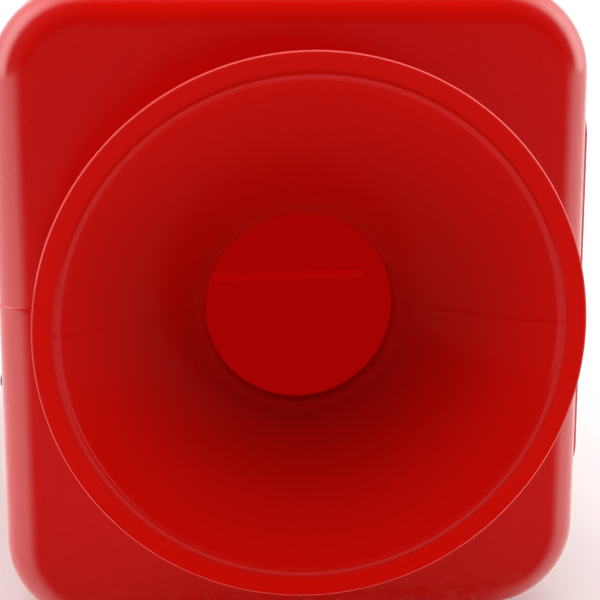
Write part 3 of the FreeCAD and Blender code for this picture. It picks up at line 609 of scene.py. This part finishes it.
def flute_tree():
    """Upright half-round flutes on the walls of a block, round its rounded outline."""
    found = bpy.data.node_groups.get("flutes")
    if found:
        return found
    t = Tree("flutes")
    points = t.entry.outputs[0]
    width = t.input("Width", "Float", 0.2)
    length = t.input("Length", "Float", 0.1)
    corner = t.input("Corner Radius", "Float", 0.01)
    height = t.input("Height", "Float", 0.01)
    radius = t.input("Flute Radius", "Float", 0.001)
    spacing = t.input("Spacing", "Float", 0.01)
    finish = t.input("Material", "Material", None)
    outline = t.node("GeometryNodeCurvePrimitiveQuadrilateral", None, {0: width, 1: length})
    outline = t.node("GeometryNodeFilletCurve", {"mode": "POLY"},
                     {"Curve": outline, "Count": 8, "Radius": corner})
    stations = t.node("GeometryNodeResampleCurve", {"mode": "LENGTH"},
                      {"Curve": outline, "Length": spacing})
    flute = t.node("GeometryNodeMeshCylinder", None, {"Vertices": 12, "Radius": radius, "Depth": height})
    row = t.node("GeometryNodeInstanceOnPoints", None, {"Points": stations, "Instance": flute})
    placed = t.node("GeometryNodeInstanceOnPoints", None, {"Points": points, "Instance": row})
    return t.finish(placed, finish)


def weld_tree():
    """A weld bead along one side of a block that turns a little way across both its ends."""
    found = bpy.data.node_groups.get("weld_bead")
    if found:
        return found
    t = Tree("weld_bead")
    points = t.entry.outputs[0]
    width = t.input("Width", "Float", 0.45)
    length = t.input("Length", "Float", 0.86)
    corner = t.input("Corner Radius", "Float", 0.03)
    gap = t.input("Gap", "Float", 0.11)
    proud = t.input("Proud", "Float", 0.001)
    half_height = t.input("Half Height", "Float", 0.0025)
    finish = t.input("Material", "Material", None)
    half_width = t.times(width, 0.5)
    half_length = t.times(length, 0.5)
    back = t.times(half_length, -1.0)
    stations = ((gap, back), (half_width, back), (half_width, half_length), (gap, half_length))
    corners = [t.node("ShaderNodeCombineXYZ", None, {0: x, 1: y}) for x, y in stations]
    runs = []
    for side in (1.0, -1.0):
        row = t.node("GeometryNodeMeshLine", None, {"Count": len(corners)})
        for index, place in enumerate(corners):
            here = t.node("FunctionNodeCompare", {"data_type": "INT", "operation": "EQUAL"},
                          {2: t.node("GeometryNodeInputIndex"), 3: index})
            row = t.node("GeometryNodeSetPosition", None, {
                "Geometry": row, "Selection": here, "Position": place})
        path = t.node("GeometryNodeMeshToCurve", None, {0: row})
        path = t.node("GeometryNodeFilletCurve", {"mode": "POLY"},
                      {"Curve": path, "Count": 16, "Radius": corner})
        section = t.node("GeometryNodeCurvePrimitiveCircle", None, {"Resolution": 16, "Radius": 1.0})
        size = t.node("ShaderNodeCombineXYZ", None, {0: proud, 1: half_height, 2: 1.0})
        section = t.node("GeometryNodeTransform", None, {0: section, "Scale": size})
        bead = t.node("GeometryNodeCurveToMesh", None, {0: path, 1: section})
        if side < 0:
            bead = t.node("GeometryNodeTransform", None, {0: bead, "Rotation": (0, 0, math.pi)})
        runs.append(bead)
    placed = t.node("GeometryNodeInstanceOnPoints", None, {"Points": points, "Instance": t.join(*runs)})
    return t.finish(placed, finish)


def grown(name, group, points, **inputs):
    """An object whose mesh is what the tree makes at the points."""
    bm = bmesh.new()
    for p in points:
        bm.verts.new(p)
    thing = object_from(name, bm)
    modifier = thing.modifiers.new(group.name, "NODES")
    modifier.node_group = group
    sockets = {item.name: item.identifier for item in group.interface.items_tree
               if item.item_type == "SOCKET" and item.in_out == "INPUT"}
    for key, value in inputs.items():
        modifier[sockets[key.replace("_", " ")]] = value
    settle(thing)
    thing.data.set_sharp_from_angle(angle=math.radians(SHARP_ANGLE))
    return thing


def solid_boxes(node):
    """Lowest and highest corners of each separate solid of a CAD node, in order along Y and X."""
    bm = bmesh.new()
    bm.from_mesh(frame["nodes"][node].data)
    bmesh.ops.remove_doubles(bm, verts=bm.verts, dist=SAME_POINT)
    left = set(bm.verts)
    boxes = []
    while left:
        stack = [left.pop()]
        group = list(stack)
        while stack:
            for edge in stack.pop().link_edges:
                for vert in edge.verts:
                    if vert in left:
                        left.remove(vert)
                        stack.append(vert)
                        group.append(vert)
        lo = Vector([min(v.co[k] for v in group) for k in range(3)])
        hi = Vector([max(v.co[k] for v in group) for k in range(3)])
        boxes.append((lo, hi))
    bm.free()
    return sorted(boxes, key=lambda b: (round(b[0].y, 4), round(b[0].x, 4), b[0].z))


# --- Horn and socket --------------------------------------------------------------------------------
def horn_outline(s):
    """The horn's section: radius from the axis and distance behind the rim plane."""
    rim = HORN_HI.x
    depth = HORN_HI.y - HORN_LO.y
    crease = rim - s.lip
    slope = s.lip_drop / s.lip
    front = [(rim - s.rim_edge, 0.0)]
    front += bowed_points((rim - 0.002, 0.002 * slope),
                          (crease + s.bead_half, s.lip_drop - s.bead_half * slope), 0.0, 6)
    for i in range(1, 12):
        t = i / 12
        r = crease + s.bead_half * (1 - 2 * t)
        h = s.lip_drop - (r - crease) * slope - s.bead * math.sin(math.pi * t) ** 1.5
        front.append((r, h))
    throat_h = depth - s.wall - s.throat
    bead_in = (crease - s.bead_half, s.lip_drop + s.bead_half * slope)
    front += bowed_points(bead_in, (SOCKET_RADIUS + s.throat, throat_h), s.bow, 30)
    centre = (SOCKET_RADIUS + s.throat, throat_h + s.throat)
    front += arc_points(centre, s.throat, math.radians(-110), math.radians(-180), 7)[1:]
    front += [(SOCKET_RADIUS, depth - s.wall * 0.5), (SOCKET_RADIUS, depth)]
    foot = SOCKET_RADIUS + 0.024 + s.wall
    back = [(foot, depth), (foot, depth - s.wall)]
    back += bowed_points((foot - 0.0005, depth - s.wall - 0.0004), (rim - 0.0004, s.wall), -s.bow, 24)
    back += [(rim, s.wall - s.rim_edge), (rim, s.rim_edge)]
    return front + back, len(front)


def horn_half(s, upper):
    """Half of the horn, turned about its axis, with a fine mould ridge along its seam."""
    outline, front_count = horn_outline(s)
    ridge = s.seam_upper if upper else s.seam_lower
    sign = 1 if upper else -1
    near = [(0.0, 1.0), (0.0010, 0.8), (0.0026, 0.0)]
    rings = []
    steps = s.segments
    plan = [(0.0, d, k) for d, k in near]
    plan += [(math.pi * i / steps, 0.0, 0.0) for i in range(2, steps - 1)]
    plan += [(math.pi, -d, k) for d, k in reversed(near)]
    for angle, offset, raised in plan:
        ring = []
        for i, (r, h) in enumerate(outline):
            turn = angle + offset / r
            lift = ridge * raised if 8 < i < front_count - 2 else 0.0
            ring.append((r * math.cos(turn), HORN_LO.y + h - lift,
                         AXIS_Z + sign * r * math.sin(turn)))
        rings.append(ring)
    name = "horn_upper" if upper else "horn_lower"
    return spun(name, rings, closed_ends=True)


def socket_cup():
    """Blind cup behind the horn, with a rounded floor corner."""
    depth0, depth1 = CUP_LO.y, MOUNTS["socket_bore"]["pos_m"][1] + SOCKET_LENGTH / 2
    outer = CUP_HI.x
    corner = CUP_CORNER
    outline = [(0.0, CUP_HI.y), (outer, CUP_HI.y), (outer, depth0), (SOCKET_RADIUS, depth0)]
    outline += arc_points((SOCKET_RADIUS - corner, depth1 - corner), corner, 0.0, math.pi / 2, 6)
    outline += [(SOCKET_RADIUS * 0.5, depth1), (0.0, depth1)]
    steps = 128
    rings = []
    for i in range(steps):
        turn = 2 * math.pi * i / steps
        rings.append([(r * math.cos(turn), y, AXIS_Z + r * math.sin(turn)) for r, y in outline])
    return spun("socket_cup_wall", rings, closed_ends=False), depth1


def socket_seam(depth):
    """Flat weld bead across the cup's far wall."""
    bm = bmesh.new()
    half = SOCKET_RADIUS * 0.965
    turns = [math.pi * i / 12 for i in range(13)]
    across = [(SEAM_HALF_WIDTH * math.cos(a), SEAM_HEIGHT * math.sin(a)) for a in turns]
    rows = []
    for k in range(41):
        x = -half + 2 * half * k / 40
        fade = min(1.0, (1 - abs(x) / half) * 14)
        rows.append([bm.verts.new((x, depth + 0.0001 - b * fade, AXIS_Z + a)) for a, b in across])
    for near, far in zip(rows, rows[1:]):
        for i in range(len(across) - 1):
            bm.faces.new((near[i], near[i + 1], far[i + 1], far[i]))
        bm.faces.new((near[-1], near[0], far[0], far[-1]))
    bm.faces.new(rows[0])
    bm.faces.new(rows[-1])
    bmesh.ops.recalc_face_normals(bm, faces=bm.faces)
    return object_from("socket_seam", bm, math.radians(60))


class BARRIER_OT_horn(bpy.types.Operator):
    """Builds both halves of the horn"""
    bl_idname = "barrier.horn"
    bl_label = "Horn"

    def execute(self, context):
        settings = context.scene.barrier_horn
        for upper, node in ((True, "horn_upper_half"), (False, "horn_lower_half")):
            adopt(horn_half(settings, upper), ROOT, SLOTS[node], "horn_plastic", node)
        return {"FINISHED"}


class BARRIER_OT_socket(bpy.types.Operator):
    """Builds the blind socket behind the horn, and the weld across its far wall"""
    bl_idname = "barrier.socket"
    bl_label = "Socket"

    def execute(self, context):
        cup, depth = socket_cup()
        # Both finishes here are painted glow.
        adopt(cup, ROOT, SLOTS["socket_cup"], "socket_glow", "socket_cup")
        adopt(socket_seam(depth), ROOT, SLOTS["socket_cup"], "seam_glow")
        return {"FINISHED"}


# --- Tank -------------------------------------------------------------------------------------------
class BARRIER_OT_tank(bpy.types.Operator):
    """Finishes both tank halves and the fork tunnels, and lays the weld bead between the halves"""
    bl_idname = "barrier.tank"
    bl_label = "Tank"

    def execute(self, context):
        for node in ("tank_upper_shell", "tank_lower_shell"):
            finished_node(node, edge=0.0)
        for node in ("fork_tunnel_front", "fork_tunnel_rear"):
            finished_node(node, edge=0.0015, steps=3)
        bead = grown("tank_weld_bead", weld_tree(), [(0, 0, AXIS_Z)],
                     Width=TANK_HI.x - TANK_LO.x, Length=TANK_HI.y - TANK_LO.y,
                     Corner_Radius=0.030, Gap=TANK_HI.x - 0.04, Proud=0.0006, Half_Height=0.0022,
                     Material=material("tank_plastic"))
        adopt(bead, ROOT, "tank_plastic", "tank_plastic")
        return {"FINISHED"}


class BARRIER_OT_panel(bpy.types.Operator):
    """Finishes the side panel, its reflective strips and its rivets"""
    bl_idname = "barrier.panel"
    bl_label = "Side panel"

    def execute(self, context):
        finished_node("side_panel", edge=0.0)
        finished_node("reflective_strips", edge=0.0002, steps=1)
        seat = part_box("side_panel")[1].x
        boxes = solid_boxes("panel_rivets")
        points = [(seat, (lo.y + hi.y) / 2, (lo.z + hi.z) / 2) for lo, hi in boxes]
        height = boxes[0][1].x - seat
        rivets = grown("panel_rivet_heads", fastener_tree(), points,
                       Head_Radius=(boxes[0][1].y - boxes[0][0].y) / 2, Head_Height=height, Dome=0.8,
                       Shank_Radius=0.0025, Shank_Length=seat - boxes[0][0].x, Axis=(1, 0, 0),
                       Material=material("plated_steel"))
        adopt(rivets, ROOT, "plated_steel", "plated_steel", "panel_rivets")
        return {"FINISHED"}


# --- Fittings ---------------------------------------------------------------------------------------
def screws_on_top(name, node, seat, head_height, shank_radius):
    """Socket head screws in place of a node of upright screws, their heads on the seat's height."""
    boxes = solid_boxes(node)
    points = [((lo.x + hi.x) / 2, (lo.y + hi.y) / 2, seat) for lo, hi in boxes]
    radius = (boxes[0][1].x - boxes[0][0].x) / 2
    heads = grown(name, fastener_tree(), points, Head_Radius=radius, Head_Height=head_height,
                  Drive_Radius=radius * 0.45, Drive_Sides=6, Dome=0.55, Shank_Radius=shank_radius,
                  Shank_Length=seat - boxes[0][0].z, Axis=(0, 0, 1),
                  Material=material("plated_steel"))
    return adopt(heads, ROOT, "plated_steel", "plated_steel", node)


class BARRIER_OT_fill(bpy.types.Operator):
    """Finishes the fill neck, its screws, the lid, the gasket and the ring"""
    bl_idname = "barrier.fill"
    bl_label = "Fill neck and lid"

    def execute(self, context):
        finished_node("fill_neck", edge=0.0008)
        finished_node("fill_lid", edge=0.0010, steps=3)
        finished_node("fill_lid_ring", edge=0.0007)
        finished_node("fill_lid_gasket", edge=0.0003)
        top = solid_boxes("fill_neck_screws")[0][1].z
        screws_on_top("fill_screw_heads", "fill_neck_screws", top - 0.002, 0.002, 0.0025)
        return {"FINISHED"}


class BARRIER_OT_drain(bpy.types.Operator):
    """Finishes the drain bush, its gasket and its plug"""
    bl_idname = "barrier.drain"
    bl_label = "Drain"

    def execute(self, context):
        finished_node("drain_bush", edge=0.0008)
        finished_node("drain_plug", edge=0.0010, steps=3)
        finished_node("drain_gasket", edge=0.0003)
        return {"FINISHED"}


class BARRIER_OT_handles(bpy.types.Operator):
    """Finishes the carrying handles, their ribbed grips, brackets and screws"""
    bl_idname = "barrier.handles"
    bl_label = "Handles"

    def execute(self, context):
        for end in ("front", "rear"):
            finished_node(end + "_handle", edge=0.0, sharp=50)
            finished_node(end + "_handle_brackets", edge=0.0007)
            node = end + "_handle_grip"
            lo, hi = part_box(node)
            finished_node(node, edge=0.0)
            hoops = grown(end + "_grip_hoops", hoop_tree(), [(lo + hi) / 2],
                          Radius=(hi.z - lo.z) / 2 - 0.0002, Thickness=0.0009, Count=11, Spacing=0.0062,
                          Axis=(1, 0, 0), Material=material("black_rubber"))
            adopt(hoops, BODY_OF[node], "black_rubber", "black_rubber")
        top = solid_boxes("handle_screws")[0][1].z
        screws_on_top("handle_screw_heads", "handle_screws", top - 0.0025, 0.0025, 0.003)
        return {"FINISHED"}


class BARRIER_OT_coupling_pin(bpy.types.Operator):
    """Finishes the coupling pin, its grips and its two sleeves"""
    bl_idname = "barrier.coupling_pin"
    bl_label = "Coupling pin"

    def execute(self, context):
        finished_node("coupling_pin", edge=0.0007, sharp=45)
        finished_node("coupling_pin_grips", edge=0.0012, steps=3)
        for lo, hi in solid_boxes("coupling_pin_grips"):
            side = "left" if lo.x < 0 else "right"
            hoops = grown("pin_grip_hoops_" + side, hoop_tree(), [(lo + hi) / 2],
                          Radius=(hi.z - lo.z) / 2 - 0.0002, Thickness=0.0008, Count=7, Spacing=0.0056,
                          Axis=(1, 0, 0), Material=material("black_rubber"))
            adopt(hoops, BODY_OF["coupling_pin_grips"], "black_rubber", "black_rubber")
        for node in ("pin_guide_sleeve", "pin_stowage_sleeve", "lamp_socket"):
            finished_node(node, edge=0.0008)
        return {"FINISHED"}


class BARRIER_OT_spigot(bpy.types.Operator):
    """Finishes the spigot, its clamp ring, buffer, bolts and inserts"""
    bl_idname = "barrier.spigot"
    bl_label = "Spigot"

    def execute(self, context):
        finished_node("rear_spigot", edge=0.0006, steps=2)
        finished_node("spigot_clamp_ring", edge=0.0015, steps=3)
        finished_node("spigot_buffer_ring", edge=0.0015, steps=3)
        finished_node("spigot_inserts", edge=0.0004)
        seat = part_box("spigot_clamp_ring")[1].y
        boxes = solid_boxes("spigot_bolts")
        points = [((lo.x + hi.x) / 2, seat, (lo.z + hi.z) / 2) for lo, hi in boxes]
        radius = (boxes[0][1].x - boxes[0][0].x) / 2
        bolts = grown("spigot_bolt_heads", fastener_tree(), points, Head_Radius=radius,
                      Head_Height=boxes[0][1].y - seat, Drive_Radius=radius * 0.55, Drive_Sides=6,
                      Dome=0.18, Shank_Radius=0.005, Shank_Length=seat - boxes[0][0].y, Axis=(0, 1, 0),
                      Material=material("plated_steel"))
        adopt(bolts, ROOT, "plated_steel", "plated_steel", "spigot_bolts")
        return {"FINISHED"}


class BARRIER_OT_skids(bpy.types.Operator):
    """Finishes the rubber skids with fluted sides, and their screws"""
    bl_idname = "barrier.skids"
    bl_label = "Skids"

    def execute(self, context):
        for node in ("front_skid", "middle_skid", "rear_skid"):
            lo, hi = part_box(node)
            finished_node(node, edge=0.0012)
            middle = (lo + hi) / 2
            flutes = grown(node + "_flutes", flute_tree(), [middle], Width=hi.x - lo.x,
                           Length=hi.y - lo.y, Corner_Radius=0.018, Height=(hi.z - lo.z) * 0.7,
                           Flute_Radius=0.0011, Spacing=0.008, Material=material("black_rubber"))
            adopt(flutes, ROOT, "black_rubber", "black_rubber")
        finished_node("skid_screws", edge=0.0005)
        return {"FINISHED"}


# --- Stage ------------------------------------------------------------------------------------------
def area_light(name, place, aim, size, power):
    """A soft lamp that shows in no reflection."""
    data = bpy.data.lights.new(name, "AREA")
    data.shape = "RECTANGLE"
    data.size, data.size_y = size
    data.energy = power
    lamp = new_object(name, data)
    lamp.location = place
    lamp.visible_glossy = False
    lamp.rotation_euler = (Vector(aim) - Vector(place)).to_track_quat("-Z", "Y").to_euler()
    return lamp


def studio_world():
    """White surroundings, dim towards the camera's side."""
    world = bpy.data.worlds.new("studio")
    bpy.context.scene.world = world
    f = Finish("studio", world)
    around = f.node("ShaderNodeTexCoord", output="Generated")
    along = f.node("ShaderNodeSeparateXYZ", None, {0: around}, "Y")
    share = f.node("ShaderNodeMapRange", None, {"Value": along, "From Min": -1.0})
    tone = f.node("ShaderNodeValToRGB", None, {0: share})
    ramp = tone.socket.node.color_ramp
    ramp.interpolation = "EASE"
    for position, grey in WORLD_STOPS:
        stop = ramp.elements.new(position)
        stop.color = (grey, grey, grey, 1)
    ramp.elements.remove(ramp.elements[0])
    ramp.elements.remove(ramp.elements[-1])
    shade = f.node("ShaderNodeBackground", None, {"Color": tone, "Strength": WORLD_STRENGTH})
    f.close("ShaderNodeOutputWorld", shade)


class BARRIER_OT_stage(bpy.types.Operator):
    """Makes the pale floor, the soft studio light and the camera"""
    bl_idname = "barrier.stage"
    bl_label = "Stage"

    def execute(self, context):
        scene = context.scene
        settings = scene.barrier_stage
        half = settings.floor / 2
        bm = bmesh.new()
        corners = ((-half, -half, 0), (half, -half, 0), (half, half, 0), (-half, half, 0))
        bm.faces.new([bm.verts.new(p) for p in corners])
        floor = object_from("floor", bm)
        f = Finish("pale_floor")
        mottle = f.noise(3.0, 3.0).clamped(0.3, 0.7)
        colour = f.mix(mottle, (0.78, 0.78, 0.78), (0.82, 0.82, 0.82))
        floor.data.materials.append(f.surface(
            colour, 0.7, Emission_Color=(1, 1, 1, 1), Emission_Strength=0.05))
        studio_world()
        centre = (0.0, HORN_LO.y, AXIS_Z)
        area_light("overhead", (0.0, HORN_LO.y - 0.35, 2.2), centre, (0.9, 0.35), 12)
        data = bpy.data.cameras.new("camera")
        data.lens = settings.lens
        data.sensor_width = SENSOR_WIDTH
        data.clip_end = 100.0
        camera = new_object("camera", data)
        camera.location = (-settings.aside, HORN_LO.y - settings.distance, AXIS_Z + settings.above)
        camera.rotation_euler = (math.pi / 2 - settings.pitch, 0.0, -settings.yaw)
        scene.camera = camera
        scene.view_settings.view_transform = "Standard"
        return {"FINISHED"}


class BARRIER_PT_panel(bpy.types.Panel):
    """Lists the barrier's pieces and settings in the sidebar"""
    bl_idname = "BARRIER_PT_panel"
    bl_label = "Water filled barrier"
    bl_space_type = "VIEW_3D"
    bl_region_type = "UI"
    bl_category = "Barrier"

    def draw(self, context):
        for operator in OPERATORS:
            self.layout.operator(operator.bl_idname)
        for group_name in GROUPS:
            group = getattr(context.scene, group_name)
            for name in group.__annotations__:
                self.layout.prop(group, name)


OPERATORS = (
    BARRIER_OT_stage, BARRIER_OT_horn, BARRIER_OT_socket, BARRIER_OT_tank, BARRIER_OT_panel,
    BARRIER_OT_fill, BARRIER_OT_drain, BARRIER_OT_handles, BARRIER_OT_coupling_pin,
    BARRIER_OT_spigot, BARRIER_OT_skids,
)
GROUPS = {"barrier_finish": FinishSettings, "barrier_horn": HornSettings, "barrier_stage": StageSettings}
CLASSES = (*GROUPS.values(), *OPERATORS, BARRIER_PT_panel)


def register():
    for cls in CLASSES:
        bpy.utils.register_class(cls)
    for name, group in GROUPS.items():
        setattr(bpy.types.Scene, name, PointerProperty(type=group))


def unregister():
    for name in GROUPS:
        delattr(bpy.types.Scene, name)
    for cls in reversed(CLASSES):
        bpy.utils.unregister_class(cls)


def main():
    register()
    make_materials()
    for operator in OPERATORS:
        kind, name = operator.bl_idname.split(".")
        getattr(getattr(bpy.ops, kind), name)()


if __name__ == "__main__":
    main()
